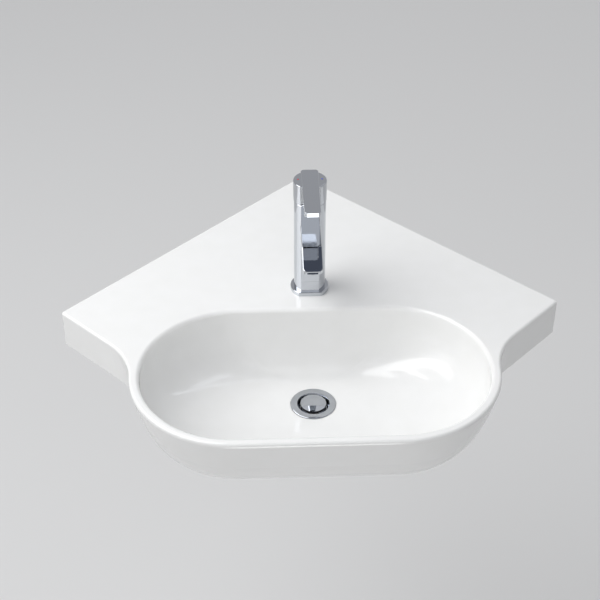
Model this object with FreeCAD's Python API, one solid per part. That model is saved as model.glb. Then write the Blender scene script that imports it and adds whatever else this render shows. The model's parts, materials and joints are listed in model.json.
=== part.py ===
import FreeCAD, Part
import os
from math import asin, cos, pi, radians, sin, sqrt, tan

# Corner basin with a single-lever mixer and a push-down waste. Millimetres.
# Origin: the deck-top corner where the two walls meet. +X right, +Y into the room's
# corner, +Z up, so the basin stands out towards -Y and is alike on both sides of X = 0.
# The mixer is drawn about its own upright axis, and the waste about its seat.

V = FreeCAD.Vector
UP = V(0, 0, 1)
HALF = sqrt(0.5)

# ---- basin: plan -------------------------------------------------------------------
half_width = 360.0          # wall tip to the plane of symmetry
tip_round = 5.0             # upright edge where an end face meets the wall
neck_radius = 104.0         # hollow curve from an end face into the bowl's rim
bowl_lead = 140.0           # how far the middle of the bowl's rim stands before the tips
bowl_half_straight = 106.6  # middle to each end centre of the rim
bowl_radius = 132.6         # inner end radius of the rim
rim_width = 13.8            # flat top of the rim with its rounded edges

# ---- basin: heights and walls ------------------------------------------------------
slab_depth = 56.5           # visible edge at the end faces
deck_thickness = 14.0
skirt_wall = 12.0
deck_edge_round = 4.0
rim_edge_round = 6.0
rim_drop = 6.0              # upright band of the rim, before the outside draws in
bowl_wall = 13.0            # thickness under the floor
belly_slant = 0.33          # share of the drawing-in that is a straight slant
belly_fullness = 0.667      # exponent of the rest: 1 is an ellipse, lower is fuller
belly_inset = 66.0          # how far the lowest section has drawn in
belly_straight = 103.0      # half straight of the lowest section
belly_shift = 28.0          # how far the lowest section lies back towards the waste

bowl_depth = 107.0          # deck to the floor round the waste
wall_drop = 12.0            # upright band inside the rim
bowl_fullness = 0.88        # exponent of the inner curve: 1 is an ellipse, lower is fuller
floor_margin = 5.5          # flat floor round the waste's flange
floor_straight = 4.0
bowl_steps = 9              # sections of the inner and outer curves

# ---- basin: wall webs and fixings --------------------------------------------------
web_top_length = 330.0
web_low_length = 280.0
web_depth = 130.0
fixing_reach = 230.0        # corner to a fixing, along the wall
fixing_drop = 95.0
hanger_radius = 5.0         # M10
hanger_in_wall = 62.0
hanger_neck_radius = 4.5    # plain shank between the two threads
hanger_neck_length = 9.0
hanger_neck_out = 1.0       # how far the shank stands out of the wall's face
fixing_clearance = 0.3
sleeve_wall = 3.2
sleeve_flange_width = 5.5
sleeve_flange = 3.0
washer_width = 7.7
washer_thickness = 2.0
nut_wall = 3.5              # thread to the nut's flats
nut_height = 8.0
hanger_spare = 6.0          # thread that stands past the nut

# ---- mixer: body -------------------------------------------------------------------
tap_setback = 54.4          # bowl's inner edge to the mixer's axis
tap_hole_radius = 17.5
tap_hole_play = 1.0         # round the spigot
spigot_drop = 2.0           # the spigot ends this far above the deck's underside
body_radius = 22.7
body_flat = 18.5            # axis to the body's flat front
foot_ledge = 5.3            # how far the foot stands out round the body
foot_flat_ledge = 4.2       # the same at the flat front
foot_height = 6.0
foot_edge = 1.5
foot_seal_margin = 1.5
foot_seal_width = 2.5
foot_seal_height = 1.5

# ---- mixer: pivot, dome and handle -------------------------------------------------
pivot_z = 135.0             # the lever's pivot, and the middle of the dome
dome_radius = 28.8
dome_gap = 1.2
cap_low_radius = 22.9
cap_top_radius = 23.7
cap_height = 50.0           # pivot to the cap's top
cap_edge_round = 1.6
lever_rise = 2.0            # the lever's top above the cap's
lever_thickness = 6.5
lever_back_width = 25.0
lever_tip_width = 22.3
lever_reach = 88.0
lever_corner_round = 5.0
lever_tip_round = 3.5
lever_edge_round = 0.8
lever_lift = 25.0           # degrees from shut to fully open
dot_radius = 1.3
dot_gap = 4.3               # the lever's edge to a dot's middle
dot_back = 1.4
dot_depth = 1.0
dot_proud = 0.2
screw_radius = 2.5
screw_length = 7.0
screw_edge = 0.5            # spindle's end to the screw
plug_gap = 2.0              # screw to its cover plug

# ---- mixer: spout ------------------------------------------------------------------
spout_width = 28.0
spout_drop = 15.0           # pivot to the spout's top
spout_root_height = 38.0
spout_crease = 70.0         # axis to where the spout's top turns down
spout_reach = 105.0
spout_tip_drop = 18.0       # how far the top falls from the crease to the nose
nose_height = 5.0
nose_slant = 2.0
spout_edge_round = 1.2
nose_round = 7.0
channel_radius = 3.0
channel_rise = 2.0          # outlet way's middle above the aerator

# ---- mixer: cartridge --------------------------------------------------------------
seat_drop = 37.0            # pivot to the cartridge's seat
chamber_drop = 10.0         # seat to the outlet way
cartridge_radius = 16.5
cartridge_clearance = 0.2
housing_wall = 2.0
housing_floor = 5.0
disc_thickness = 4.0
disc_gap = 0.1
disc_play = 0.3             # moving disc to the housing at the end of its travel
inlet_x = 5.0
inlet_y = -2.8
inlet_port_radius = 1.8
outlet_y = 4.0
outlet_port_radius = 2.4
recess_wall = 1.2
recess_front = -2.0
seal_margin = 0.4
seal_height = 0.6
seal_width = 1.2
rotor_drop = 16.0           # pivot to the rotor's underside
rotor_rise = 7.0            # pivot to the rotor's top
slot_play = 0.5             # spindle to the rotor's slot, each side
slot_spare = 9.0            # how much longer than the spindle the slot is
groove_width = 14.0
groove_depth = 4.0
rib_play = 0.2
pin_radius = 1.5
pin_clearance = 0.05
pin_inset = 1.0
spindle_side = 8.0
spindle_cover = 11.0        # cap's top to the spindle's end
spindle_neck_radius = 2.0
ball_radius = 3.4
ball_arm = 18.0             # pivot to the ball's middle
socket_clearance = 0.08
socket_mouth = 2.0          # how much wider the socket is where the neck leans
nut_rise = 2.0              # pivot to the retaining nut
retaining_height = 13.0
nut_play = 0.6              # round the rotor
cover_hole = 13.0
cover_wall = 1.8

# ---- mixer: inlets, stud and clamp -------------------------------------------------
supply_x = 7.5
supply_radius = 3.0
supply_thread_radius = 4.5  # M10 x 1
supply_thread_length = 9.0
supply_room = 4.0           # round the supplies in the clamp
stud_y = 9.0
stud_radius = 4.0           # M8
stud_in_body = 15.0
stud_spare = 17.5           # below the clamp's nut
stud_room = 2.0
clamp_ledge = 6.5           # how far the clamp grips outside the tap hole
clamp_seal_height = 3.0
clamp_plate_height = 2.5
clamp_nut_wall = 2.5
clamp_nut_height = 25.0

# ---- mixer: aerator ----------------------------------------------------------------
aerator_setback = 17.0      # nose to the aerator's middle
aerator_margin = 1.4        # aerator's flange to the spout's sides
aerator_step = 1.1
aerator_height = 5.0
aerator_flange = 3.5
aerator_wall = 1.4
aerator_seal = 1.5
aerator_seal_width = 3.5
aerator_edge = 0.8
jet_radius = 1.1
jet_rings = (0, 1), (3.6, 6), (7.2, 12)     # radius and count of the jets' rings
thread_clearance = 0.1

# ---- waste -------------------------------------------------------------------------
waste_setback = 49.0        # middle of the bowl's rim to the waste's axis
flange_recess = 3.0
flange_radius = 32.5
recess_clearance = 0.7
gasket_thickness = 1.5
gasket_clearance = 0.3
flange_thickness = 2.5
flange_edge_round = 1.0
tail_radius = 20.95         # G 1 1/4
tail_length = 84.0
tail_wall = 2.55
tail_groove = 1.5           # thread relief below the back nut
tail_groove_depth = 0.5
drain_clearance = 2.05      # tail to the basin's drain hole
boss_wall = 13.0
boss_height = 22.0          # below the underside
collar_clearance = 0.6
collar_wall = 3.2
collar_drop = 8.0
funnel_flare = 4.1
funnel_drop = 4.0
hub_drop = 14.0             # seat to the hub's top
hub_height = 10.0
hub_wall = 0.6              # round the cage's collar
spoke_width = 4.0
spoke_count = 3
rod_radius = 3.0
rod_clearance = 0.1
piston_step = 1.5           # piston's radius over the rod's
piston_drop = 5.0           # hub's top to the piston
piston_length = 6.0
piston_gap = 0.4
cage_wall = 1.9
cage_depth = 38.0           # below the hub's top
cage_floor = 2.0
cage_collar = 2.0
cage_collar_width = 2.1
cage_lid = 1.5
plug_play = 0.4             # plug's seal to the waste's bore
plug_seal_lip = 0.4         # how far the seal stands out of the plug
plug_seal_height = 1.6
plug_cap_low = 2.6
plug_cap_edge = 2.0
plug_cap_crown = 1.4
plug_hub_wall = 2.5
plug_travel = 6.0
plug_stop = 0.5             # plug's hub to the cage at the end of its travel
spring_wire = 0.7
spring_play = 0.45
spring_turns = 7
back_seal_height = 5.0
back_seal_lip = 4.0
back_washer_height = 2.0
back_nut_width = 8.05       # tail to the lugs' ends
back_nut_height = 10.0
back_nut_lug = 3.0
back_nut_lug_width = 8.0
back_nut_lugs = 6
part_gap = 0.05             # between pieces that lie face to face

# ---- what follows from these -------------------------------------------------------
bowl_y = -half_width - bowl_lead
tap_y = bowl_y + bowl_radius + tap_setback
waste_y = bowl_y + waste_setback
rim_outer_radius = bowl_radius + rim_width
belly_depth = bowl_depth + bowl_wall - rim_drop
boss_bottom = bowl_depth + bowl_wall + boss_height
boss_radius = tail_radius + drain_clearance + boss_wall
floor_radius = flange_radius + floor_margin
sleeve_radius = hanger_radius + fixing_clearance + sleeve_wall

spigot_radius = tap_hole_radius - tap_hole_play
spigot_low = spigot_drop - deck_thickness
foot_radius = body_radius + foot_ledge
foot_flat = body_flat + foot_flat_ledge
cap_top = pivot_z + cap_height
lever_top = cap_top + lever_rise
dot_offset = lever_back_width / 2 + dot_gap
spout_top = pivot_z - spout_drop
spout_tip_top = spout_top - spout_tip_drop
spout_tip_low = spout_tip_top - nose_height
aerator_reach = spout_reach - aerator_setback
aerator_flange_radius = spout_width / 2 - aerator_margin
aerator_radius = aerator_flange_radius - aerator_step

seat_z = pivot_z - seat_drop
disc_low = seat_z + housing_floor
moving_disc_low = disc_low + disc_thickness + disc_gap
shut_offset = ball_arm * sin(radians(lever_lift / 2))
rotor_radius = cartridge_radius - housing_wall - cartridge_clearance
rotor_low = pivot_z - rotor_drop
rotor_top = pivot_z + rotor_rise
moving_disc_radius = rotor_radius + cartridge_clearance - shut_offset - disc_play
spindle_length = cap_height - spindle_cover
nut_low = pivot_z + nut_rise
nut_top = nut_low + retaining_height

clamp_seal_low = -deck_thickness - clamp_seal_height
clamp_plate_low = clamp_seal_low - clamp_plate_height
clamp_nut_low = clamp_plate_low - clamp_nut_height

drain_hole_radius = tail_radius + drain_clearance
collar_radius = drain_hole_radius - collar_clearance
waste_bore = collar_radius - collar_wall
tail_bore = tail_radius - tail_wall
funnel_radius = waste_bore + funnel_flare
flange_top = gasket_thickness + flange_thickness
cage_top = cage_collar - hub_drop
piston_radius = rod_radius + piston_step
piston_top = -hub_drop - piston_drop
cage_bore = piston_radius + rod_clearance
cage_radius = cage_bore + cage_wall
cage_low = -hub_drop - cage_depth
cage_collar_radius = cage_radius + cage_collar_width
hub_low = -hub_drop - hub_height
plug_seal_radius = waste_bore - plug_play
plug_cap_radius = plug_seal_radius - plug_seal_lip
plug_hub_radius = rod_radius + plug_hub_wall
plug_hub_low = cage_top + cage_lid + plug_travel + plug_stop
back_nut_radius = tail_radius + back_nut_width
back_seal_top = bowl_depth + flange_recess - boss_bottom
back_washer_top = back_seal_top - back_seal_height
back_nut_top = back_washer_top - back_washer_height


# ---- small shapes ------------------------------------------------------------------
def rod(radius, low, high, x=0.0, y=0.0):
    return Part.makeCylinder(radius, high - low, V(x, y, low))


def ring(outer, inner, low, high, x=0.0, y=0.0):
    return rod(outer, low, high, x, y).cut(rod(inner, low - 1, high + 1, x, y))


def block(x0, x1, y0, y1, z0, z1):
    return Part.makeBox(x1 - x0, y1 - y0, z1 - z0, V(x0, y0, z0))


def cone(low_radius, high_radius, low, high):
    return Part.makeCone(low_radius, high_radius, high - low, V(0, 0, low))


def ball(radius, centre):
    return Part.makeSphere(radius, centre)


def polygon_prism(points, thickness):
    """A flat outline, swept through the vector thickness."""
    return Part.Face(Part.makePolygon(points + points[:1])).extrude(thickness)


def hexagon(half_flats, low, high, x=0.0, y=0.0):
    corner = half_flats / cos(radians(30))
    points = [V(x + corner * cos(radians(60 * i)), y + corner * sin(radians(60 * i)), low)
              for i in range(6)]
    return polygon_prism(points, V(0, 0, high - low))


def d_column(low_radius, high_radius, flat, low, high):
    """An upright column, round but for its flat front at -Y."""
    if low_radius == high_radius:
        column = rod(low_radius, low, high)
    else:
        column = cone(low_radius, high_radius, low, high)
    reach = 2 * max(low_radius, high_radius)
    return column.common(block(-reach, reach, -flat, reach, low - 1, high + 1))


def along(start, end, radius):
    """A rod between two points."""
    return Part.makeCylinder(radius, (end - start).Length, start, end - start)


def rounded(shape, radius, chosen):
    """Round the edges that chosen accepts."""
    return shape.makeFillet(radius, [edge for edge in shape.Edges if chosen(edge)])


def flat_edge_at(z):
    """True for an edge that lies wholly at height z."""
    return lambda edge: abs(edge.BoundBox.ZMin - z) < 0.01 and abs(edge.BoundBox.ZMax - z) < 0.01


# ---- basin -------------------------------------------------------------------------
def line(start, end):
    return Part.LineSegment(start, end).toShape()


def arc_about(centre, start, end):
    """The shorter arc from start to end about centre."""
    middle = (start - centre).normalize() + (end - centre).normalize()
    middle = centre + middle.normalize() * (start - centre).Length
    return Part.Arc(start, middle, end).toShape()


def belly_angle(depth):
    """Where a depth below the deck lies on the outer form's curve: 0 at its top."""
    return asin(min(1.0, (depth - rim_drop) / belly_depth) ** (1 / belly_fullness))


def bowl_outside(z):
    """The middle's y, the half straight and the end radius of the outer form at height z."""
    angle = belly_angle(-z)
    share = (belly_slant * sin(angle) ** belly_fullness
             + (1 - belly_slant) * (1 - cos(angle) ** belly_fullness))
    return (bowl_y + belly_shift * share,
            bowl_half_straight + (belly_straight - bowl_half_straight) * share,
            rim_outer_radius - belly_inset * share)


def plan(z, inset, corner_round):
    """The basin's outline at height z, drawn in by inset all round."""
    outward = V(HALF, -HALF, 0)
    inward = V(-HALF, -HALF, 0)
    lift = V(0, 0, z)
    rim_y, rim_half, rim_radius = bowl_outside(z)
    rim_radius -= inset
    rim_end = V(rim_half, rim_y, z)
    neck = neck_radius + rim_outer_radius - rim_radius
    corner = V(half_width, -half_width, z) - outward * inset
    start = corner + outward * neck
    gap = start - rim_end
    side = gap.dot(inward)
    reach = -side - sqrt(side ** 2 - gap.dot(gap) + (rim_radius + neck) ** 2)
    neck_centre = start + inward * reach

    tip = corner + inward * inset
    wall_end = tip - outward * corner_round
    face_start = tip + inward * corner_round
    face_end = corner + inward * reach
    rim_start = rim_end + (neck_centre - rim_end).normalize() * rim_radius
    front = rim_end - V(0, rim_radius, 0)
    right = [line(V(0, -inset / HALF, 0) + lift, wall_end),
             arc_about(wall_end + inward * corner_round, wall_end, face_start),
             line(face_start, face_end),
             arc_about(neck_centre, face_end, rim_start),
             arc_about(rim_end, rim_start, front)]
    left = [edge.mirror(V(0, 0, 0), V(1, 0, 0)) for edge in reversed(right)]
    return Part.Wire(Part.__sortEdges__(right + [line(front, V(-front.x, front.y, z))] + left))


def obround(z, centre_y, half_straight, radius):
    """A wire with two straight sides along X and two half-round ends."""
    left, right = V(-half_straight, centre_y, z), V(half_straight, centre_y, z)
    out = V(0, radius, 0)
    side = V(radius, 0, 0)
    return Part.Wire([line(left - out, right - out),
                      Part.Arc(right - out, right + side, right + out).toShape(),
                      line(right + out, left + out),
                      Part.Arc(left + out, left - side, left - out).toShape()])


def belly(high, low):
    """The bowl's outer form between two depths below the deck."""
    first, last = belly_angle(high), belly_angle(low)
    sections = []
    for i in range(bowl_steps):
        angle = first + (last - first) * i / (bowl_steps - 1)
        z = -rim_drop - belly_depth * sin(angle) ** belly_fullness
        sections.append(obround(z, *bowl_outside(z)))
    return Part.makeLoft(sections, True, False)


def bowl_space():
    """The inside of the bowl, from above the deck down to its flat floor."""
    upright = Part.Face(obround(-wall_drop, bowl_y, bowl_half_straight, bowl_radius))
    sections = []
    for i in range(bowl_steps):
        angle = pi / 2 * i / (bowl_steps - 1)
        drawn_in = 1 - max(0.0, cos(angle)) ** bowl_fullness
        sections.append(obround(-wall_drop - (bowl_depth - wall_drop) * sin(angle) ** bowl_fullness,
                                bowl_y + (waste_y - bowl_y) * drawn_in,
                                bowl_half_straight + (floor_straight - bowl_half_straight) * drawn_in,
                                bowl_radius + (floor_radius - bowl_radius) * drawn_in))
    return upright.extrude(V(0, 0, wall_drop + 1)).fuse(Part.makeLoft(sections, True, False))


def plan_loft(high, low, inset, corner_round):
    """The basin's outline as a solid between two depths, drawing in as the bowl does."""
    levels = [-high - (low - high) * i / 3 for i in range(4)]
    return Part.makeLoft([plan(z, inset, corner_round) for z in levels], True, False)


def deck_slab():
    """The deck and its edge, solid, with the front edge turning in as the bowl does."""
    top = Part.Face(plan(-rim_drop, 0, tip_round)).extrude(V(0, 0, rim_drop))
    top = rounded(top, deck_edge_round, flat_edge_at(0))
    return top.fuse(plan_loft(rim_drop, slab_depth, 0, tip_round))


def wall_web(side):
    """The deeper wall flange on one side, which takes the fixing."""
    along_wall = V(side * HALF, -HALF, 0)
    points = [along_wall * reach - UP * drop
              for reach, drop in ((0, deck_thickness), (web_top_length, deck_thickness),
                                  (web_top_length, slab_depth), (web_low_length, web_depth),
                                  (0, web_depth))]
    return polygon_prism(points, V(-side * HALF, -HALF, 0) * skirt_wall)


def fixing_frame(side):
    """The placement of a fixing: its +Z points into the wall from the wall's face."""
    into_wall = V(side * HALF, HALF, 0)
    place = V(side * HALF, -HALF, 0) * fixing_reach - UP * fixing_drop
    return FreeCAD.Placement(place, FreeCAD.Rotation(UP, into_wall))


def placed_fixings(shape):
    """One copy of shape at each of the two fixings."""
    copies = []
    for side in (1, -1):
        copy = shape.copy()
        copy.Placement = fixing_frame(side)
        copies.append(copy)
    return copies


def basin():
    """The fireclay body: deck, skirts, bowl, wall webs and waste boss in one piece."""
    hollow = plan_loft(deck_thickness, slab_depth, skirt_wall, 1)
    back_of_bowl = Part.Face(obround(-rim_drop, bowl_y, bowl_half_straight, rim_outer_radius))
    back_of_bowl = back_of_bowl.extrude(V(0, 0, rim_drop)).fuse(belly(rim_drop, slab_depth))
    lower_bowl = belly(slab_depth, rim_drop + belly_depth)
    body = deck_slab().cut(hollow.cut(back_of_bowl)).fuse(lower_bowl)
    body = body.fuse([wall_web(1), wall_web(-1),
                      rod(boss_radius, -boss_bottom, -bowl_depth - 1, 0, waste_y)])
    body = body.cut([bowl_space(),
                     rod(flange_radius + recess_clearance, -bowl_depth - flange_recess,
                         -bowl_depth + 1, 0, waste_y),
                     rod(drain_hole_radius, -boss_bottom - 1, -bowl_depth, 0, waste_y),
                     rod(tap_hole_radius, -deck_thickness - 1, 1, 0, tap_y)])
    holes = placed_fixings(rod(sleeve_radius + fixing_clearance, -skirt_wall - 1, 1))
    body = body.cut(holes)
    rim_y = bowl_y - bowl_radius - 0.01, bowl_y + bowl_radius + 0.01
    rim_x = bowl_half_straight + bowl_radius + 0.01
    at_deck = flat_edge_at(0)
    return rounded(body, rim_edge_round, lambda edge: at_deck(edge)
                   and rim_y[0] < edge.BoundBox.YMin and edge.BoundBox.YMax < rim_y[1]
                   and edge.BoundBox.XMax < rim_x and edge.BoundBox.XMin > -rim_x)


# ---- wall fixings ------------------------------------------------------------------
def hanger_bolt():
    """Thread for the nut, a plain shank at the wall's face, and thread for the wall."""
    inner_end = -(skirt_wall + sleeve_flange + washer_thickness + nut_height + hanger_spare)
    tip = cone(hanger_radius, hanger_radius / 2, hanger_in_wall - hanger_radius, hanger_in_wall)
    neck = ring(hanger_radius + 1, hanger_neck_radius, hanger_neck_out - hanger_neck_length,
                hanger_neck_out)
    return rod(hanger_radius, inner_end, hanger_in_wall - hanger_radius).fuse(tip).cut(neck)


def fixing_sleeve():
    hole = hanger_radius + fixing_clearance
    flange = ring(sleeve_radius + sleeve_flange_width, hole, -skirt_wall - sleeve_flange, -skirt_wall)
    return flange.fuse(ring(sleeve_radius, hole, -skirt_wall, -fixing_clearance))


def fixing_washer():
    high = -skirt_wall - sleeve_flange
    hole = hanger_radius + fixing_clearance
    return ring(hole + washer_width, hole, high - washer_thickness, high)


def fixing_nut():
    high = -skirt_wall - sleeve_flange - washer_thickness
    nut = hexagon(hanger_radius + nut_wall, high - nut_height, high)
    return nut.cut(rod(hanger_radius, high - nut_height - 1, high + 1))


# ---- mixer: body and spout ---------------------------------------------------------
def d_band(outer, flat, width, low, high):
    """A band of the given width inside the outline of a column with a flat front."""
    return d_column(outer, outer, flat, low, high).cut(
        d_column(outer - width, outer - width, flat - width, low - 1, high + 1))


def foot():
    """The trim ring under the body, with a groove for its seal."""
    trim = rounded(d_column(foot_radius, foot_radius, foot_flat, 0, foot_height),
                   foot_edge, flat_edge_at(foot_height))
    groove = d_band(foot_radius - foot_seal_margin + part_gap,
                    foot_flat - foot_seal_margin + part_gap,
                    foot_seal_width + 2 * part_gap, -1, foot_seal_height)
    return trim.cut([groove, rod(spigot_radius + part_gap, -1, foot_height + 1)])


def foot_seal():
    return d_band(foot_radius - foot_seal_margin, foot_flat - foot_seal_margin,
                  foot_seal_width, 0, foot_seal_height - part_gap)


def spout():
    """The spout's solid, from inside the body out to its nose."""
    side = spout_width / 2
    low_back = aerator_reach - aerator_flange_radius - 1
    tip_low = V(-side, nose_slant - spout_reach, spout_tip_low)
    profile = [V(-side, 0, spout_top), V(-side, -spout_crease, spout_top),
               V(-side, -spout_reach, spout_tip_top), tip_low,
               V(-side, -low_back, spout_tip_low), V(-side, 0, spout_top - spout_root_height)]
    arm = polygon_prism(profile, V(spout_width, 0, 0))

    def nose_corner(edge):
        box = edge.BoundBox
        upright = box.ZLength > 1 and box.XLength < 0.01
        return upright and box.YMax < tip_low.y + 0.01 and abs(abs(box.XMin) - side) < 0.01

    def long_top_edge(edge):
        box = edge.BoundBox
        return (box.XLength < 0.01 and edge.Length > nose_round
                and box.ZMax > spout_tip_top + nose_height)

    arm = rounded(arm, nose_round, nose_corner)
    return rounded(arm, spout_edge_round, long_top_edge)


def water_ways():
    """The bores for the cartridge, the supplies, the outlet, the aerator and the stud."""
    chamber = V(0, outlet_y, seat_z - chamber_drop)
    outlet = V(0, -aerator_reach, spout_tip_low + aerator_height + channel_rise)
    ways = [rod(cartridge_radius + cartridge_clearance, seat_z, pivot_z + dome_radius + 1),
            rod(outlet_port_radius, chamber.z, seat_z + 1, 0, outlet_y),
            along(chamber, outlet, channel_radius),
            rod(aerator_radius + thread_clearance, spout_tip_low - 1,
                spout_tip_low + aerator_height, 0, -aerator_reach),
            rod(stud_radius, spigot_low - 1, stud_in_body, 0, stud_y)]
    for x in (-supply_x, supply_x):
        ways.append(rod(supply_radius, spigot_low - 1, seat_z + 1, x, inlet_y))
        ways.append(rod(supply_thread_radius, spigot_low - 1,
                        spigot_low + supply_thread_length, x, inlet_y))
    return ways


def mixer_body():
    """Body, spout and spigot in one casting."""
    column = d_column(body_radius, body_radius, body_flat, foot_height, pivot_z + dome_radius)
    dome = ball(dome_radius, V(0, 0, pivot_z)).fuse(rod(body_radius + 1, foot_height, pivot_z))
    spigot = rod(spigot_radius, spigot_low, foot_height + 1)
    return column.common(dome).fuse([spout(), spigot]).cut(water_ways())


# ---- mixer: clamp under the deck ---------------------------------------------------
def horseshoe(low, high):
    """A clamp plate, open to the front round the two water inlets."""
    radius = tap_hole_radius + clamp_ledge
    half_opening = supply_x + supply_thread_radius + supply_room
    opening = block(-half_opening, half_opening, -radius - 1,
                    stud_y - stud_radius - stud_room, low - 1, high + 1)
    stud_hole = rod(stud_radius + fixing_clearance, low - 1, high + 1, 0, stud_y)
    return rod(radius, low, high).cut([opening, stud_hole])


def clamp_stud():
    return rod(stud_radius, clamp_nut_low - stud_spare, stud_in_body, 0, stud_y)


def clamp_nut():
    nut = hexagon(stud_radius + clamp_nut_wall, clamp_nut_low, clamp_plate_low, 0, stud_y)
    return nut.cut(rod(stud_radius, clamp_nut_low - 1, clamp_plate_low + 1, 0, stud_y))


# ---- mixer: cartridge --------------------------------------------------------------
def port_holes(low, high):
    return [rod(inlet_port_radius, low, high, -inlet_x, inlet_y),
            rod(inlet_port_radius, low, high, inlet_x, inlet_y),
            rod(outlet_port_radius, low, high, 0, outlet_y)]


def seal_places():
    """Inner radius and middle of the seal round each port."""
    inlet = inlet_port_radius + seal_margin
    return [(inlet, -inlet_x, inlet_y), (inlet, inlet_x, inlet_y),
            (outlet_port_radius + seal_margin, 0, outlet_y)]


def cartridge_housing():
    shell = rod(cartridge_radius, seat_z, nut_low)
    inside = rod(rotor_radius + cartridge_clearance, disc_low, nut_low + 1)
    grooves = [ring(radius + seal_width, radius, seat_z - 1, seat_z + seal_height, x, y)
               for radius, x, y in seal_places()]
    return shell.cut([inside] + port_holes(seat_z - 1, disc_low + 1) + grooves)


def port_seals():
    return [ring(radius + seal_width - part_gap, radius + part_gap, seat_z,
                 seat_z + seal_height - part_gap, x, y) for radius, x, y in seal_places()]


def fixed_disc():
    disc = rod(rotor_radius, disc_low, disc_low + disc_thickness)
    return disc.cut(port_holes(disc_low - 1, disc_low + disc_thickness + 1))


def moving_disc():
    """Ceramic disc whose recess joins the ports once it has slid forward."""
    reach = moving_disc_radius
    disc = rod(reach, moving_disc_low, moving_disc_low + disc_thickness, 0, shut_offset)
    recess = rod(reach - recess_wall, moving_disc_low - 1,
                 moving_disc_low + disc_thickness / 2, 0, shut_offset)
    behind = block(-reach, reach, shut_offset + recess_front, shut_offset + reach,
                   moving_disc_low - 1, moving_disc_low + disc_thickness)
    return disc.cut(recess.common(behind))


def disc_carrier():
    """Holds the moving disc, slides in the rotor's groove and takes the spindle's ball."""
    low = moving_disc_low + disc_thickness
    high = rotor_low + groove_depth
    plate = rod(moving_disc_radius, low, rotor_low - 2 * disc_gap, 0, shut_offset)
    side = groove_width / 2 - rib_play
    rib_reach = sqrt(moving_disc_radius ** 2 - side ** 2) - disc_play
    rib = block(-side, side, shut_offset - rib_reach, shut_offset + rib_reach,
                low, high - 3 * disc_gap)
    ball_z = pivot_z - ball_arm * cos(radians(lever_lift / 2))
    socket = rod(ball_radius + socket_clearance, ball_z - ball_radius - 1, high, 0, shut_offset)
    mouth = cone(ball_radius, ball_radius + socket_mouth, ball_z, high)
    mouth.translate(V(0, shut_offset, 0))
    return plate.fuse(rib).cut([socket, mouth])


def rotor():
    """Turns with the lever and carries its pivot pin."""
    reach = rotor_radius + 1
    groove = block(-groove_width / 2, groove_width / 2, -reach, reach, rotor_low - 1,
                   rotor_low + groove_depth)
    slot_x = spindle_side / 2 + slot_play
    slot_y = (spindle_side + slot_spare) / 2
    slot = block(-slot_x, slot_x, -slot_y, slot_y, rotor_low - 1, rotor_top + 1)
    return rod(rotor_radius, rotor_low, rotor_top).cut([groove, slot, pivot_pin()])


def pivot_pin():
    end = rotor_radius - pin_inset
    return along(V(-end, 0, pivot_z), V(end, 0, pivot_z), pin_radius)


def spindle():
    """Square above the pivot, with a neck and a ball below it, leaning as at rest."""
    half = spindle_side / 2
    bar = block(-half, half, -half, half, pivot_z - half, pivot_z + spindle_length)
    neck = rod(spindle_neck_radius, pivot_z - ball_arm, pivot_z)
    knob = ball(ball_radius, V(0, 0, pivot_z - ball_arm))
    across = along(V(-spindle_side, 0, pivot_z), V(spindle_side, 0, pivot_z),
                   pin_radius + pin_clearance)
    return leaning(bar.fuse([neck, knob]).cut(across))


def retaining_nut():
    """Threaded ring that holds the cartridge down in the body."""
    return ring(cartridge_radius + cartridge_clearance, rotor_radius + nut_play, nut_low, nut_top)


def dome_cover():
    """Thin dome round the spindle, standing on the retaining nut."""
    centre = V(0, 0, pivot_z)
    foot_z = nut_top + part_gap
    top = pivot_z + dome_radius
    shell = ball(dome_radius, centre).cut(ball(dome_radius - cover_wall, centre))
    shell = shell.common(ring(cartridge_radius, cover_hole, foot_z, top))
    skirt = ring(cartridge_radius, cartridge_radius - cover_wall, foot_z, top)
    return shell.fuse(skirt.common(ball(dome_radius, centre)))


# ---- mixer: handle -----------------------------------------------------------------
def lever_plate():
    """The flat lever, from the cap's back to its tip."""
    back, tip = lever_back_width / 2, lever_tip_width / 2
    low = lever_top - lever_thickness
    points = [V(-back, cap_top_radius, low), V(-tip, -lever_reach, low),
              V(tip, -lever_reach, low), V(back, cap_top_radius, low)]
    plate = polygon_prism(points, V(0, 0, lever_thickness))

    def corner_at(far):
        return lambda edge: edge.BoundBox.ZLength > 1 and abs(edge.BoundBox.YMin - far) < 0.01

    plate = rounded(plate, lever_corner_round, corner_at(cap_top_radius))
    plate = rounded(plate, lever_tip_round, corner_at(-lever_reach))
    return rounded(plate, lever_edge_round, flat_edge_at(lever_top))


def leaning(shape):
    """Turn a shape that was drawn upright about the pivot to the lever's rest angle."""
    shape.rotate(V(0, 0, pivot_z), V(1, 0, 0), lever_lift / 2)
    return shape


def spindle_socket():
    half = spindle_side / 2 + part_gap
    return leaning(block(-half, half, -half, half, pivot_z, pivot_z + spindle_length + part_gap))


def screw_rise():
    """Height of the grub screw above the pivot, near the spindle's end."""
    return spindle_length - screw_radius - screw_edge


def screw_line(start, end, radius):
    """A rod on the grub screw's line, from the spindle out to the cap's back."""
    height = pivot_z + screw_rise()
    return along(V(0, start, height), V(0, end, height), radius)


def screw_inner():
    """Where the grub screw meets the spindle's leaning back face."""
    lean = radians(lever_lift / 2)
    face = spindle_side / 2 / cos(lean) - (screw_rise() - screw_radius) * tan(lean)
    return face + part_gap


def cap_column():
    return d_column(cap_low_radius, cap_top_radius, body_flat, pivot_z, cap_top)


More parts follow.
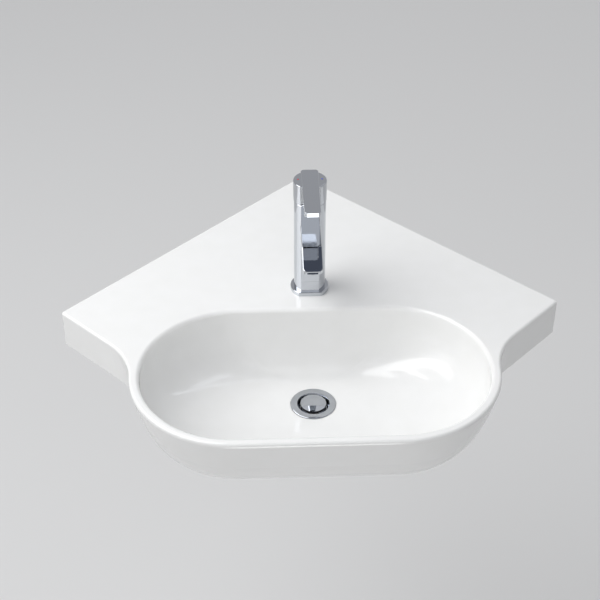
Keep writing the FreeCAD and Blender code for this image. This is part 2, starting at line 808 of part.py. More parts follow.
def handle():
    """Cap and lever in one casting, hollow over the dome."""
    cap = rounded(cap_column(), cap_edge_round, flat_edge_at(cap_top))
    cuts = [ball(dome_radius + dome_gap, V(0, 0, pivot_z)), spindle_socket(),
            screw_line(screw_inner() - 1, cap_top_radius + 1, screw_radius)]
    for x in (-dot_offset, dot_offset):
        cuts.append(rod(dot_radius + part_gap, cap_top - dot_depth, cap_top + 1, x, dot_back))
    return cap.fuse(lever_plate()).cut(cuts)


def dot(x):
    return rod(dot_radius, cap_top - dot_depth, cap_top + dot_proud, x, dot_back)


def grub_screw():
    return screw_line(screw_inner(), screw_inner() + screw_length, screw_radius)


def screw_plug():
    """Closes the screw's hole, trimmed to the cap's round back."""
    start = screw_inner() + screw_length + plug_gap
    body = screw_line(start, cap_top_radius + 1, screw_radius - part_gap)
    return body.common(cap_column())


# ---- mixer: aerator ----------------------------------------------------------------
def aerator_top():
    """Top of the aerator's barrel, under its washer."""
    return spout_tip_low + aerator_height - aerator_seal - part_gap


def aerator_housing():
    low = spout_tip_low - aerator_flange
    flange = rounded(rod(aerator_flange_radius, low, spout_tip_low - part_gap), aerator_edge,
                     flat_edge_at(low))
    barrel = rod(aerator_radius, spout_tip_low - 1, aerator_top())
    return barrel.fuse(flange).cut(rod(aerator_radius - aerator_wall, low - 1, aerator_top() + 1))


def aerator_core():
    """The perforated insert that mixes air into the jet."""
    low = spout_tip_low - aerator_flange + aerator_edge
    jets = [rod(jet_radius, low - 1, aerator_top() + 1, circle * cos(2 * pi * i / count),
                circle * sin(2 * pi * i / count))
            for circle, count in jet_rings for i in range(count)]
    return rod(aerator_radius - aerator_wall - part_gap, low, aerator_top()).cut(jets)


def aerator_washer():
    low = aerator_top()
    return ring(aerator_radius, aerator_radius - aerator_seal_width, low, low + aerator_seal)


# ---- waste, about the middle of its seat -------------------------------------------
def waste_body():
    """Flange, funnel and threaded tail, with a spoked hub for the mechanism."""
    flange = rounded(rod(flange_radius, gasket_thickness, flange_top), flange_edge_round,
                     flat_edge_at(flange_top))
    outer = flange.fuse([rod(collar_radius, -collar_drop, flange_top - 1),
                         rod(tail_radius, -tail_length, 1 - collar_drop)])
    inner = cone(waste_bore, funnel_radius, -funnel_drop, flange_top)
    inner = inner.fuse([rod(waste_bore, -collar_drop, -funnel_drop),
                        rod(tail_bore, -tail_length - 1, -collar_drop),
                        rod(funnel_radius, flange_top, flange_top + 1)])
    spokes = [rod(hub_radius(), hub_low, -hub_drop)]
    for i in range(spoke_count):
        spoke = block(0, (tail_bore + tail_radius) / 2, -spoke_width / 2, spoke_width / 2,
                      hub_low, -hub_drop)
        spoke.rotate(V(0, 0, 0), UP, 90 + 360 * i / spoke_count)
        spokes.append(spoke)
    hub_bore = rod(cage_radius + part_gap, hub_low - 1, 1 - hub_drop)
    groove_top = back_nut_top - back_nut_height
    groove = ring(tail_radius + 1, tail_radius - tail_groove_depth, groove_top - tail_groove,
                  groove_top)
    return outer.cut(inner).fuse(spokes).cut([hub_bore, groove])


def hub_radius():
    return cage_collar_radius + hub_wall


def waste_gasket():
    return ring(flange_radius - 1, collar_radius + gasket_clearance, 0, gasket_thickness)


def spring_cage():
    """Plastic sleeve in the hub, open at the top for the plunger."""
    sleeve = rod(cage_radius, cage_low, -hub_drop)
    collar = rod(cage_collar_radius, -hub_drop, cage_top)
    return sleeve.fuse(collar).cut(rod(cage_bore, cage_low + cage_floor, cage_top + 1))


def cage_cap():
    """Screwed bush that keeps the plunger in its cage."""
    bush = rod(cage_bore, piston_top + piston_gap, cage_top)
    lid = rod(cage_radius, cage_top, cage_top + cage_lid)
    return bush.fuse(lid).cut(rod(rod_radius + rod_clearance, cage_low, cage_top + cage_lid + 1))


def plunger():
    """Piston and rod that carry the plug."""
    piston = rod(piston_radius, piston_top - piston_length, piston_top)
    return piston.fuse(rod(rod_radius, piston_top, plug_cap_low))


def spring():
    """Return spring between the cage's floor and the piston."""
    radius = cage_bore - spring_play - spring_wire / 2
    low = cage_low + cage_floor + spring_wire / 2 + part_gap
    high = piston_top - piston_length - spring_wire / 2 - part_gap
    path = Part.makeHelix((high - low) / spring_turns, high - low, radius)
    path.translate(V(0, 0, low))
    section = Part.Wire(Part.makeCircle(spring_wire / 2, V(radius, 0, low), V(0, 1, 0)))
    sweep = Part.BRepOffsetAPI.MakePipeShell(Part.Wire(path.Edges))
    sweep.setFrenetMode(True)
    sweep.add(section)
    sweep.build()
    sweep.makeSolid()
    return sweep.shape()


def plug_cap():
    """The shallow domed plug, with a hub for the plunger."""
    high = plug_cap_low + plug_cap_edge
    crown = (plug_cap_radius ** 2 + plug_cap_crown ** 2) / (2 * plug_cap_crown)
    dome = ball(crown, V(0, 0, high + plug_cap_crown - crown))
    lid = rod(plug_cap_radius, plug_cap_low, high + plug_cap_crown + 1).common(dome)
    hub = rod(plug_hub_radius, plug_hub_low, plug_cap_low)
    return lid.fuse(hub).cut(rod(rod_radius, plug_hub_low - 1, plug_cap_low))


def plug_seal():
    return ring(plug_seal_radius, plug_hub_radius + part_gap, plug_cap_low - plug_seal_height,
                plug_cap_low)


def back_seal():
    """Tapered rubber that closes the boss from below."""
    seal = cone(back_nut_radius - 1, drain_hole_radius + back_seal_lip, back_washer_top,
                back_seal_top)
    return seal.cut(rod(tail_radius, back_washer_top - 1, back_seal_top + 1))


def back_washer():
    return ring(back_nut_radius, tail_radius + gasket_clearance, back_nut_top, back_washer_top)


def back_nut():
    low = back_nut_top - back_nut_height
    nut = rod(back_nut_radius - back_nut_lug, low, back_nut_top)
    for i in range(back_nut_lugs):
        lug = block(0, back_nut_radius, -back_nut_lug_width / 2, back_nut_lug_width / 2,
                    low, back_nut_top)
        lug.rotate(V(0, 0, 0), UP, 360 * i / back_nut_lugs)
        nut = nut.fuse(lug)
    return nut.cut(rod(tail_radius, low - 1, back_nut_top + 1))


# ---- nodes -------------------------------------------------------------------------
def export(name, solids, place=V(0, 0, 0)):
    """Write one node's solids to its file, moved to place."""
    solids = solids if isinstance(solids, list) else [solids]
    moved = []
    for solid in solids:
        solid = solid.removeSplitter() if solid.ShapeType != "Solid" else solid
        solid.translate(place)
        moved += solid.Solids
    shape = moved[0] if len(moved) == 1 else Part.makeCompound(moved)
    print("%-20s solids %d  valid %s  volume %.1f cm3" % (
        name, len(moved), shape.isValid(), shape.Volume / 1000))
    shape.exportStep("parts/%s.step" % name)


def main():
    os.makedirs("parts", exist_ok=True)
    mixer = V(0, tap_y, 0)
    nozzle = V(0, tap_y - aerator_reach, 0)
    waste = V(0, waste_y, -bowl_depth - flange_recess)
    export("basin", basin())
    export("hanger_bolts", placed_fixings(hanger_bolt()))
    export("fixing_sleeves", placed_fixings(fixing_sleeve()))
    export("fixing_washers", placed_fixings(fixing_washer()))
    export("fixing_nuts", placed_fixings(fixing_nut()))

    export("mixer_foot", foot(), mixer)
    export("foot_seal", foot_seal(), mixer)
    export("mixer_body", mixer_body(), mixer)
    export("clamp_seal", horseshoe(clamp_seal_low, -deck_thickness), mixer)
    export("clamp_plate", horseshoe(clamp_plate_low, clamp_seal_low), mixer)
    export("clamp_stud", clamp_stud(), mixer)
    export("clamp_nut", clamp_nut(), mixer)
    export("cartridge_housing", cartridge_housing(), mixer)
    export("port_seals", port_seals(), mixer)
    export("fixed_disc", fixed_disc(), mixer)
    export("moving_disc", moving_disc(), mixer)
    export("disc_carrier", disc_carrier(), mixer)
    export("rotor", rotor(), mixer)
    export("pivot_pin", pivot_pin(), mixer)
    export("spindle", spindle(), mixer)
    export("retaining_nut", retaining_nut(), mixer)
    export("dome_cover", dome_cover(), mixer)
    export("handle", handle(), mixer)
    export("hot_dot", dot(-dot_offset), mixer)
    export("cold_dot", dot(dot_offset), mixer)
    export("grub_screw", grub_screw(), mixer)
    export("screw_plug", screw_plug(), mixer)
    export("aerator_housing", aerator_housing(), nozzle)
    export("aerator_core", aerator_core(), nozzle)
    export("aerator_washer", aerator_washer(), nozzle)

    export("waste_body", waste_body(), waste)
    export("waste_gasket", waste_gasket(), waste)
    export("spring_cage", spring_cage(), waste)
    export("cage_cap", cage_cap(), waste)
    export("plunger", plunger(), waste)
    export("plug_spring", spring(), waste)
    export("plug_cap", plug_cap(), waste)
    export("plug_seal", plug_seal(), waste)
    export("back_seal", back_seal(), waste)
    export("back_washer", back_washer(), waste)
    export("back_nut", back_nut(), waste)


main()
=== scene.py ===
# %% [markdown]
# # A corner basin, finished in Blender
# The shapes come from a CAD model: a glazed basin, its lever mixer, its push waste and
# the bolts that hang it. Here each piece gets the surface that it has in a bathroom.
# The frame comes first, because every piece is placed from it and nothing is fitted by eye.

# %% Load the frame
import json
from math import pi, radians

import bpy
from mathutils import Matrix, Vector


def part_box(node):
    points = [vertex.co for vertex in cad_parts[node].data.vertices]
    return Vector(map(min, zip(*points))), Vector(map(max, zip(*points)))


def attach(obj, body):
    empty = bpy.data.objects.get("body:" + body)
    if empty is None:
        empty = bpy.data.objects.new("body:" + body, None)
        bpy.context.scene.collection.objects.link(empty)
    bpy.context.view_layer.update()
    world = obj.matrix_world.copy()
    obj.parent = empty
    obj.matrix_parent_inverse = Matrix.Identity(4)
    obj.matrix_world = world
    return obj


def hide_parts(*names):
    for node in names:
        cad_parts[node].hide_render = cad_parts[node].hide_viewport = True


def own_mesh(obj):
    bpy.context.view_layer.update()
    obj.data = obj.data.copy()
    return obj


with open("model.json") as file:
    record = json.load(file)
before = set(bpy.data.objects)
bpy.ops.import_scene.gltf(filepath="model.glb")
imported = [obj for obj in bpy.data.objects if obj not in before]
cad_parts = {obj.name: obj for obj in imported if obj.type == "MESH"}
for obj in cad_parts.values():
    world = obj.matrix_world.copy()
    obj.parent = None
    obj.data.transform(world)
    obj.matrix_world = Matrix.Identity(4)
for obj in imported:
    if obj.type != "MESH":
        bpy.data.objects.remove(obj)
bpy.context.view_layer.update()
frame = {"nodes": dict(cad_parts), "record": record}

nodes = frame["nodes"]

# %% [markdown]
# Blender counts in metres. Sizes on this object are small, so one value turns millimetres
# into metres, and every size of the object is written in millimetres.

# %% Millimetres
MM = 0.001

# %% [markdown]
# ## The camera
# The photograph looks down on the basin from in front, from a little left of the middle.
# A long lens, 2.2 metres from the corner of the deck, keeps the uprights nearly parallel,
# as they are there.

# %% Camera at the photograph's angle
camera_data = bpy.data.cameras.new("camera")
camera_data.sensor_width = 36       # millimetres, as for the lens
camera_data.lens = 77.67
raised = 53.04                      # degrees, from looking straight down
turned_left = -2.18                 # degrees, so it looks a little to the right
camera = bpy.data.objects.new("camera", camera_data)
camera.location = (-72.3 * MM, -1846.2 * MM, 1130.9 * MM)
camera.rotation_euler = (radians(raised), 0, radians(turned_left))
bpy.context.scene.collection.objects.link(camera)
bpy.context.scene.camera = camera
print("camera to the corner of the deck, mm:", round(camera.location.length / MM))

# %% [markdown]
# ## Colours and nodes
# Colours are picked as sRGB hex, the way a paint chart gives them. Shaders count in linear
# light, so one function turns the one into the other.

# %% One function for colour
def linear(hex_code):
    """An sRGB hex colour as linear red, green, blue and alpha."""
    shares = [int(hex_code[i:i + 2], 16) / 255 for i in (0, 2, 4)]
    return [c / 12.92 if c <= 0.04045 else ((c + 0.055) / 1.055) ** 2.4 for c in shares] + [1.0]


print("mid grey 808080 in linear light:", round(linear("808080")[0], 3))

# %% [markdown]
# A material or a modifier is a small tree of nodes. Each node needs the same three steps:
# make it, set it, link it. One function does these for any kind of node.

# %% One function for nodes
MATH = "ShaderNodeMath"     # the node for sums, in materials and in Geometry Nodes alike


def add(tree, kind, sockets=None, **settings):
    """Add a node; sockets takes values, links or whole nodes, by socket name or number."""
    node = tree.nodes.new(kind)
    for name, value in settings.items():
        setattr(node, name, value)
    for name, value in (sockets or {}).items():
        if isinstance(value, bpy.types.Node):
            value = value.outputs[0]
        if isinstance(value, bpy.types.NodeSocket):
            tree.links.new(value, node.inputs[name])
        else:
            node.inputs[name].default_value = value
    return node


# %% [markdown]
# Every finish starts alike: an empty material with one Principled shader, and the place of
# each point on the object itself, so that a pattern stays put when the piece moves.

# %% A new finish
def new_finish(name, **shader):
    """A material, its tree, its shader and its object coordinates."""
    material = bpy.data.materials.new(name)
    material.use_nodes = True
    tree = material.node_tree
    tree.nodes.clear()
    principled = add(tree, "ShaderNodeBsdfPrincipled",
                     {key.replace("_", " "): value for key, value in shader.items()})
    add(tree, "ShaderNodeOutputMaterial", {"Surface": principled})
    place = add(tree, "ShaderNodeTexCoord").outputs["Object"]
    return material, tree, principled, place


# %% [markdown]
# ## Glazed fireclay
# The basin is fired clay under a coat of white glass. The glass gives a sharp, colourless
# shine over a soft white, and it lies in very slight waves, because it flowed in the kiln.
# A clear coat over a matt base does just that. The faces that go against the walls stay
# bare, as the maker grinds them flat. They lie in the two wall planes, where the distance
# to the side and the distance into the corner add up to nothing, so a sum finds them.

# %% Glazed fireclay
flow_size = 28 * MM         # from one slow wave of the glaze to the next
clay_grain = 1.2 * MM
wall_margin = 0.3 * MM      # how close to nothing the sum has to be
glazed_fireclay, tree, shader, place = new_finish(
    "glazed_fireclay", Roughness=0.35, IOR=1.5, Coat_Weight=1.0, Coat_Roughness=0.03,
    Coat_IOR=1.52)
flow = add(tree, "ShaderNodeTexNoise", {"Vector": place, "Scale": 1 / flow_size, "Detail": 1.0})
grain = add(tree, "ShaderNodeTexNoise", {"Vector": place, "Scale": 1 / clay_grain, "Detail": 2.0})
split = add(tree, "ShaderNodeSeparateXYZ", {"Vector": place})
side = add(tree, MATH, {0: split.outputs["X"]}, operation="ABSOLUTE")
toward_wall = add(tree, MATH, {0: side, 1: split.outputs["Y"]}, operation="ADD")
bare = add(tree, MATH, {0: toward_wall, 1: -wall_margin}, operation="GREATER_THAN")
white = add(tree, "ShaderNodeMix", {0: flow.outputs["Fac"], 6: linear("F1F1EF"),
                                    7: linear("F5F5F4")}, data_type="RGBA")
clay = add(tree, "ShaderNodeMix", {0: grain.outputs["Fac"], 6: linear("D8D2C6"),
                                   7: linear("E6E1D8")}, data_type="RGBA")
skin = add(tree, "ShaderNodeMix", {0: bare, 6: white.outputs[2], 7: clay.outputs[2]},
           data_type="RGBA")
waves = add(tree, "ShaderNodeBump", {"Height": flow.outputs["Fac"], "Strength": 0.15,
                                     "Distance": 0.25 * MM})
tree.links.new(skin.outputs[2], shader.inputs["Base Color"])
tree.links.new(waves.outputs[0], shader.inputs["Coat Normal"])
tree.links.new(waves.outputs[0], shader.inputs["Normal"])
print("glaze waves, mm:", round(flow_size / MM))

# %% [markdown]
# ## Bright chrome
# The tap and the waste are brass castings, polished and plated with chrome a few
# thousandths of a millimetre thick. Chrome is a cool grey mirror: it takes nearly all its
# looks from what it reflects. The polishing wheel leaves a faint ripple, and dried water
# leaves a haze, so the roughness is not quite even.

# %% Bright chrome
ripple_size = 9 * MM
haze_size = 5 * MM
fine_relief = 0.05 * MM     # how deep a polish, a tool's mark or a moulded grain goes
bright_chrome, tree, shader, place = new_finish(
    "bright_chrome_plate", Base_Color=linear("C4C7CC"), Metallic=1.0)
ripple = add(tree, "ShaderNodeTexNoise", {"Vector": place, "Scale": 1 / ripple_size, "Detail": 0.0})
haze = add(tree, "ShaderNodeTexNoise", {"Vector": place, "Scale": 1 / haze_size, "Detail": 4.0})
gloss = add(tree, "ShaderNodeMapRange", {"Value": haze.outputs["Fac"], "From Min": 0.35,
                                         "From Max": 0.75, "To Min": 0.02, "To Max": 0.07})
polish = add(tree, "ShaderNodeBump", {"Height": ripple.outputs["Fac"], "Strength": 0.08,
                                      "Distance": fine_relief})
tree.links.new(gloss.outputs[0], shader.inputs["Roughness"])
tree.links.new(polish.outputs[0], shader.inputs["Normal"])
print("chrome's ripple and haze, mm:", round(ripple_size / MM), round(haze_size / MM))

# %% [markdown]
# ## Zinc plate
# The fixings are steel under a thin coat of zinc, which dries cloudy and a little yellow.
# Two close tones, mixed by a soft noise, are the clouds. The coat is as dull in one place
# as in another, so its roughness is one value.

# %% Zinc plate on steel
cloud_size = 6 * MM
zinc_plate, tree, shader, place = new_finish("zinc_plate_on_steel", Metallic=1.0, Roughness=0.38)
cloud = add(tree, "ShaderNodeTexNoise", {"Vector": place, "Scale": 1 / cloud_size, "Detail": 3.0})
tint = add(tree, "ShaderNodeMix", {0: cloud.outputs["Fac"], 6: linear("9C9D98"),
                                   7: linear("BEBBA9")}, data_type="RGBA")
tree.links.new(tint.outputs[2], shader.inputs["Base Color"])
print("zinc's clouds, mm:", round(cloud_size / MM))

# %% [markdown]
# ## Drawn stainless steel
# The pivot pin, the grub screw and the spring begin as wire that is drawn through a die,
# which leaves fine lines. A noise that is stretched along the pin makes such lines. They
# change how the metal shines and not its colour, so they go to the roughness. On the
# spring's thin wire they are too small to be told apart.

# %% Drawn stainless steel
line_length = 4 * MM
slimness = 12.0             # a line's length over its width
drawn_stainless, tree, shader, place = new_finish(
    "drawn_stainless_steel", Base_Color=linear("BEBFC1"), Metallic=1.0)
stretch = add(tree, "ShaderNodeMapping", {"Vector": place, "Scale": (1.0, slimness, slimness)})
lines = add(tree, "ShaderNodeTexNoise", {"Vector": stretch, "Scale": 1 / line_length,
                                         "Detail": 2.0})
brushed = add(tree, "ShaderNodeMapRange", {"Value": lines.outputs["Fac"], "To Min": 0.18,
                                           "To Max": 0.36})
tree.links.new(brushed.outputs[0], shader.inputs["Roughness"])
print("drawn lines, mm wide:", round(line_length / slimness / MM, 2))

# %% [markdown]
# ## Turned brass
# The nuts, the clamp's stud and the spindle are cut on a lathe, whose tool leaves rings,
# and the air tarnishes them in soft clouds. A wave along the upright axis is the rings, as
# a slight relief. Its node counts 20 radians to the size that it is given, so the rings
# are closer together than that size.

# %% Turned brass
wave_size = 6 * MM
tarnish_size = 8 * MM
turned_brass, tree, shader, place = new_finish("turned_brass", Metallic=1.0, Roughness=0.28)
rings = add(tree, "ShaderNodeTexWave", {"Vector": place, "Scale": 1 / wave_size, "Distortion": 0.4},
            wave_type="BANDS", bands_direction="Z")
tarnish = add(tree, "ShaderNodeTexNoise", {"Vector": place, "Scale": 1 / tarnish_size,
                                           "Detail": 3.0})
tone = add(tree, "ShaderNodeMix", {0: tarnish.outputs["Fac"], 6: linear("B58B3C"),
                                   7: linear("CBA75C")}, data_type="RGBA")
cut = add(tree, "ShaderNodeBump", {"Height": rings.outputs["Fac"], "Strength": 0.3,
                                   "Distance": fine_relief})
tree.links.new(tone.outputs[2], shader.inputs["Base Color"])
tree.links.new(cut.outputs[0], shader.inputs["Normal"])
print("lathe rings, mm apart:", round(wave_size * 2 * pi / 20 / MM, 1))

# %% [markdown]
# ## Plastics, ceramic and rubber
# The sleeves, the spring's cage and the back washer are white nylon; the cartridge is
# acetal, smoother and harder. The two discs that shut off the water are alumina, lapped so
# flat that they seal by themselves. The seals are black rubber with a dull, fine grain,
# and the waste's top gasket is pale silicone. All of them have one even colour over a fine
# grain, so one function makes them from two close tones, a roughness and a grain's size.

# %% Moulded plastics
def moulded(name, dark, light, roughness, grain_size):
    """A moulded surface: two close tones, and a grain of the given size."""
    material, tree, shader, place = new_finish(name, Roughness=roughness, IOR=1.5)
    grain = add(tree, "ShaderNodeTexNoise", {"Vector": place, "Scale": 1 / grain_size,
                                             "Detail": 3.0})
    tone = add(tree, "ShaderNodeMix", {0: grain.outputs["Fac"], 6: linear(dark),
                                       7: linear(light)}, data_type="RGBA")
    relief = add(tree, "ShaderNodeBump", {"Height": grain.outputs["Fac"], "Strength": 0.25,
                                          "Distance": fine_relief})
    tree.links.new(tone.outputs[2], shader.inputs["Base Color"])
    tree.links.new(relief.outputs[0], shader.inputs["Normal"])
    print(name, "has a grain of", round(grain_size / MM, 1), "mm")
    return material


moulded_nylon = moulded("moulded_nylon", "DDDAD0", "EAE8E0", 0.5, 0.8 * MM)
moulded_acetal = moulded("moulded_acetal", "D9D9D4", "E6E6E2", 0.32, 1.5 * MM)
grey_acetal = moulded("grey_acetal", "7F8387", "92969A", 0.4, 1.0 * MM)
lapped_alumina = moulded("lapped_alumina", "EAE4D9", "F1ECE3", 0.14, 0.6 * MM)
black_rubber = moulded("black_rubber", "161617", "222223", 0.72, 0.7 * MM)
pale_silicone = moulded("pale_silicone", "C2C2BD", "CFCFCA", 0.55, 1.0 * MM)

# %% [markdown]
# ## Enamel drops
# The hot and cold marks are drops of enamel set in two small holes: a strong colour under
# a glossy skin, a little deeper where the drop is thicker. A clear coat is the skin.

# %% Enamel drops
drop_cloud = 1.0 * MM


def enamel(name, dark, light):
    """Glossy enamel with a slightly uneven depth of colour."""
    material, tree, shader, place = new_finish(name, Roughness=0.3, IOR=1.5, Coat_Weight=1.0,
                                               Coat_Roughness=0.05)
    depth = add(tree, "ShaderNodeTexNoise", {"Vector": place, "Scale": 1 / drop_cloud})
    tone = add(tree, "ShaderNodeMix", {0: depth.outputs["Fac"], 6: linear(dark),
                                       7: linear(light)}, data_type="RGBA")
    tree.links.new(tone.outputs[2], shader.inputs["Base Color"])
    return material


red_enamel = enamel("red_enamel", "B0152A", "C92438")
blue_enamel = enamel("blue_enamel", "2B35A8", "4450C4")
print("enamel drops:", red_enamel.name, "and", blue_enamel.name)

# %% [markdown]
# ## Dressing the CAD pieces
# A CAD piece keeps its shape and only changes its material. This table is the bill of
# materials: what each piece is made of.

# %% What each piece is made of
made_of = {
    glazed_fireclay: ["basin"],
    bright_chrome: ["mixer_foot", "mixer_body", "dome_cover", "handle", "aerator_housing",
                    "waste_body", "plug_cap"],
    zinc_plate: ["hanger_bolts", "fixing_washers", "fixing_nuts", "clamp_plate"],
    drawn_stainless: ["pivot_pin", "grub_screw", "plug_spring"],
    turned_brass: ["clamp_stud", "clamp_nut", "spindle", "retaining_nut", "plunger", "back_nut"],
    moulded_nylon: ["fixing_sleeves", "spring_cage", "cage_cap", "back_washer"],
    moulded_acetal: ["cartridge_housing", "disc_carrier", "rotor"],
    grey_acetal: ["screw_plug", "aerator_core"],
    lapped_alumina: ["fixed_disc", "moving_disc"],
    black_rubber: ["foot_seal", "clamp_seal", "port_seals", "aerator_washer", "plug_seal",
                   "back_seal"],
    pale_silicone: ["waste_gasket"],
    red_enamel: ["hot_dot"],
    blue_enamel: ["cold_dot"],
}
for material, names in made_of.items():
    for name in names:
        mesh = nodes[name].data
        mesh.materials.clear()
        mesh.materials.append(material)
print("dressed:", sum(len(names) for names in made_of.values()), "of", len(nodes))

# %% [markdown]
# ## Threads
# A thread is one shape that repeats along a rule: the radius falls from crest to root and
# rises again once a pitch, and the pattern turns with the angle. Modelled by hand it would
# be thousands of points, so a Geometry Nodes tree does it: a flat grid is rolled into a
# bar, and its radius is worked out from height and angle. Its inputs are what a screw
# maker's table lists, so one tree makes the wall bolts and the tap's stud. Two helpers
# come first: one starts a tree with its inputs, the other ends it.

# %% A helper for the trees
def new_tree(name, inputs):
    """An empty Geometry Nodes tree with named inputs; gives the tree and its inputs' node."""
    tree = bpy.data.node_groups.new(name, "GeometryNodeTree")
    tree.is_modifier = True
    for title, kind, value in inputs:
        socket = tree.interface.new_socket(name=title, in_out="INPUT",
                                           socket_type="NodeSocket" + kind)
        if value is not None:
            socket.default_value = value
    tree.interface.new_socket(name="Geometry", in_out="OUTPUT", socket_type="NodeSocketGeometry")
    return tree, tree.nodes.new("NodeGroupInput")


def end_tree(tree, geometry):
    """Realize the instances, give them the material, and send them out."""
    inputs = tree.nodes.new("NodeGroupInput")
    real = add(tree, "GeometryNodeRealizeInstances", {0: geometry})
    painted = add(tree, "GeometryNodeSetMaterial", {"Geometry": real,
                                                    "Material": inputs.outputs["Material"]})
    add(tree, "NodeGroupOutput", {0: painted})


# %% [markdown]
# A hanger bolt has a coarse thread that bites in the wall plug, a plain neck at the wall's
# face and a fine thread for the nut. The grid's one side is a full turn about the bar and
# its other side is the height along it. Two tests on the height tell the three parts.

# %% The threaded bar's tree
bar_tree, given = new_tree("threaded_bar", [
    ("Length", "Float", 0.1), ("Radius", "Float", 0.005), ("Fine Pitch", "Float", 0.0015),
    ("Coarse Pitch", "Float", 0.0045), ("Neck From", "Float", 0.02), ("Neck To", "Float", 0.03),
    ("Neck Radius", "Float", 0.0045), ("Point Length", "Float", 0.005), ("Rows", "Int", 300),
    ("Sides", "Int", 25), ("Material", "Material", None)])
want = given.outputs
grid = add(bar_tree, "GeometryNodeMeshGrid", {"Size X": 1.0, "Size Y": want["Length"],
                                              "Vertices X": want["Sides"],
                                              "Vertices Y": want["Rows"]})
flat = add(bar_tree, "ShaderNodeSeparateXYZ", {0: add(bar_tree, "GeometryNodeInputPosition")})
half_length = add(bar_tree, MATH, {0: want["Length"], 1: 0.5}, operation="MULTIPLY")
along = add(bar_tree, MATH, {0: flat.outputs["Y"], 1: half_length}, operation="ADD")
past_neck = add(bar_tree, MATH, {0: along, 1: want["Neck To"]}, operation="GREATER_THAN")
before_neck = add(bar_tree, MATH, {0: along, 1: want["Neck From"]}, operation="LESS_THAN")
print("nodes for the grid and its parts:", len(bar_tree.nodes))

# %% [markdown]
# The height over the pitch, less the share of a turn, counts the thread's turns. What is
# left over after the whole turns goes from 0 to 1 once a pitch, and folded in the middle
# it falls from 1 to 0 and rises again, which is the V of a thread. A coarse thread is cut
# less deep for its pitch than a fine one, so that enough of the bolt's core is left.

# %% The thread's depth at each point
fine_depth, coarse_depth = 0.55, 0.3        # as shares of the pitch
pitch_gain = add(bar_tree, MATH, {0: want["Coarse Pitch"], 1: want["Fine Pitch"]},
                 operation="SUBTRACT")
pitch = add(bar_tree, MATH, {0: pitch_gain, 1: past_neck, 2: want["Fine Pitch"]},
            operation="MULTIPLY_ADD")
pitches_up = add(bar_tree, MATH, {0: along, 1: pitch}, operation="DIVIDE")
turns = add(bar_tree, MATH, {0: pitches_up, 1: flat.outputs["X"]}, operation="SUBTRACT")
saw = add(bar_tree, MATH, {0: turns}, operation="FRACT")
zigzag = add(bar_tree, MATH, {0: saw, 1: 2.0, 2: -1.0}, operation="MULTIPLY_ADD")
to_root = add(bar_tree, MATH, {0: zigzag}, operation="ABSOLUTE")
depth_share = add(bar_tree, MATH, {0: past_neck, 1: coarse_depth - fine_depth, 2: fine_depth},
                  operation="MULTIPLY_ADD")
full_depth = add(bar_tree, MATH, {0: pitch, 1: depth_share}, operation="MULTIPLY")
cut_in = add(bar_tree, MATH, {0: to_root, 1: full_depth}, operation="MULTIPLY")
threaded = add(bar_tree, MATH, {0: want["Radius"], 1: cut_in}, operation="SUBTRACT")
print("nodes with the threads:", len(bar_tree.nodes))

# %% [markdown]
# The neck has no thread, so there the radius is the neck's own. Close to the point the bar
# tapers, and the very last ring at each end closes up to the axis, which caps the bar.

# %% The neck and the two ends
point_share = 0.5           # the tip's radius as a share of the bar's
cap_height = 0.02 * MM      # a ring this close to an end is closed up
on_thread = add(bar_tree, MATH, {0: past_neck, 1: before_neck}, operation="MAXIMUM")
neck_gain = add(bar_tree, MATH, {0: threaded, 1: want["Neck Radius"]}, operation="SUBTRACT")
radius = add(bar_tree, MATH, {0: neck_gain, 1: on_thread, 2: want["Neck Radius"]},
             operation="MULTIPLY_ADD")
to_end = add(bar_tree, MATH, {0: want["Length"], 1: along}, operation="SUBTRACT")
taper = add(bar_tree, "ShaderNodeMapRange", {
    "Value": to_end, "From Min": 0.0, "From Max": want["Point Length"],
    "To Min": point_share, "To Max": 1.0})
nearest_end = add(bar_tree, MATH, {0: to_end, 1: along}, operation="MINIMUM")
not_end = add(bar_tree, MATH, {0: nearest_end, 1: cap_height}, operation="GREATER_THAN")
pointed = add(bar_tree, MATH, {0: radius, 1: taper}, operation="MULTIPLY")
capped = add(bar_tree, MATH, {0: pointed, 1: not_end}, operation="MULTIPLY")
print("nodes with the neck and the ends:", len(bar_tree.nodes))

# %% [markdown]
# The share of a turn becomes an angle, and each point goes out from the axis at its angle
# by its radius. The grid's two long edges then meet, and merging their points closes them.

# %% Rolling the grid into a bar
seam_gap = 0.001 * MM
angle = add(bar_tree, MATH, {0: flat.outputs["X"], 1: 2 * pi}, operation="MULTIPLY")
cosine = add(bar_tree, MATH, {0: angle}, operation="COSINE")
sine = add(bar_tree, MATH, {0: angle}, operation="SINE")
rolled_x = add(bar_tree, MATH, {0: capped, 1: cosine}, operation="MULTIPLY")
rolled_y = add(bar_tree, MATH, {0: capped, 1: sine}, operation="MULTIPLY")
rolled = add(bar_tree, "ShaderNodeCombineXYZ", {"X": rolled_x, "Y": rolled_y, "Z": along})
bar = add(bar_tree, "GeometryNodeSetPosition", {"Geometry": grid.outputs["Mesh"],
                                                "Position": rolled})
closed = add(bar_tree, "GeometryNodeMergeByDistance", {"Geometry": bar, "Distance": seam_gap})
end_tree(bar_tree, closed)
print("nodes in the whole bar:", len(bar_tree.nodes))

# %% [markdown]
# ## A pair of bars
# The tree makes one bar that stands up from the origin. The two wall bolts lie at the
# fixings and point into the walls, 45 degrees to either side. A second tree takes the bar
# and puts one on each of two points; the angle follows from the point's number.

